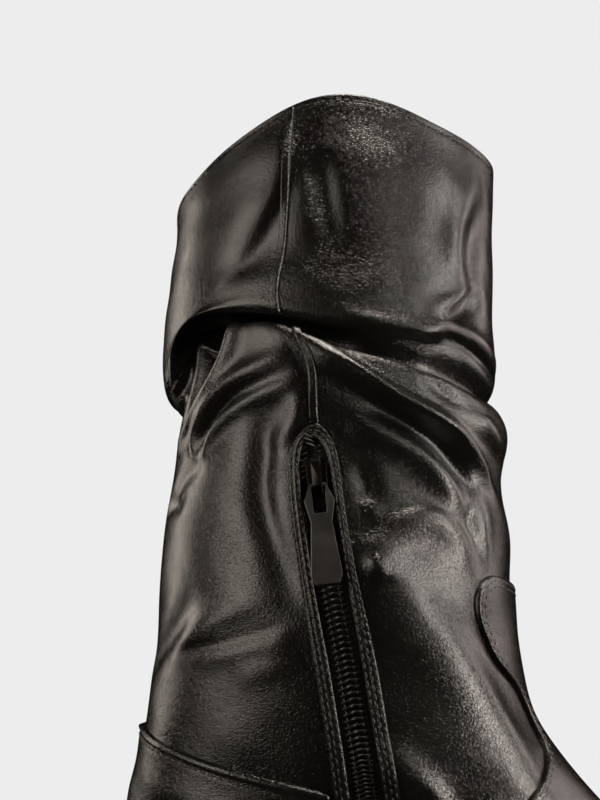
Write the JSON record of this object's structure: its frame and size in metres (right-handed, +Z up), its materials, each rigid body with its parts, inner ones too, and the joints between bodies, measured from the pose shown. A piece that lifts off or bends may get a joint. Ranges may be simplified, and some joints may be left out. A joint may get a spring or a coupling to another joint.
{
  "type": "slouched mid-calf boot",
  "caption": "Slouched leather mid-calf boot for the left foot, with a turned-over deep cuff, folds at the shaft, a side zip on the inner side and a block heel.",
  "frame": {"origin": "centre of the heel's ground face", "axes": "+X to the toe, +Y to the outer side of the foot, +Z up"},
  "size_m": [0.2578, 0.1023, 0.3281],
  "materials": {
    "black_leather": "soft black leather with a fine pebbled grain, polished",
    "black_rubber": "black rubber, matt",
    "stacked_heel": "stacked leather heel dyed black, satin",
    "insole_lining": "dark grey lining leather, matt",
    "black_tape": "woven black zip tape",
    "black_nylon": "black nylon coil, satin",
    "gunmetal": "die-cast zip slider and tab, dark gunmetal coating, matt"
  },
  "bodies": {
    "boot": {"counter": "black_leather", "heel": "stacked_heel", "heel_lift": "black_rubber", "insole": "insole_lining", "outsole": "black_rubber", "seam_strip_inner_high": "black_leather", "seam_strip_inner_low": "black_leather", "seam_strip_outer_high": "black_leather", "seam_strip_outer_low": "black_leather", "slider": "gunmetal", "upper": "black_leather", "vamp": "black_leather", "zip_chain": "black_nylon", "zip_facing": "black_leather", "zip_strand_back": "black_nylon", "zip_strand_front": "black_nylon", "zip_tape_back": "black_tape", "zip_tape_front": "black_tape"},
    "pull_tab": {"pull_tab": "gunmetal"}
  },
  "joints": [
    {"name": "pull_tab_hinge", "type": "hinge", "parent": "boot", "child": "pull_tab", "pos_m": [0.02359, -0.04786, 0.19807], "axis": [-0.9905, 0.0982, -0.0962], "range_deg": [0, 150]}
  ]
}
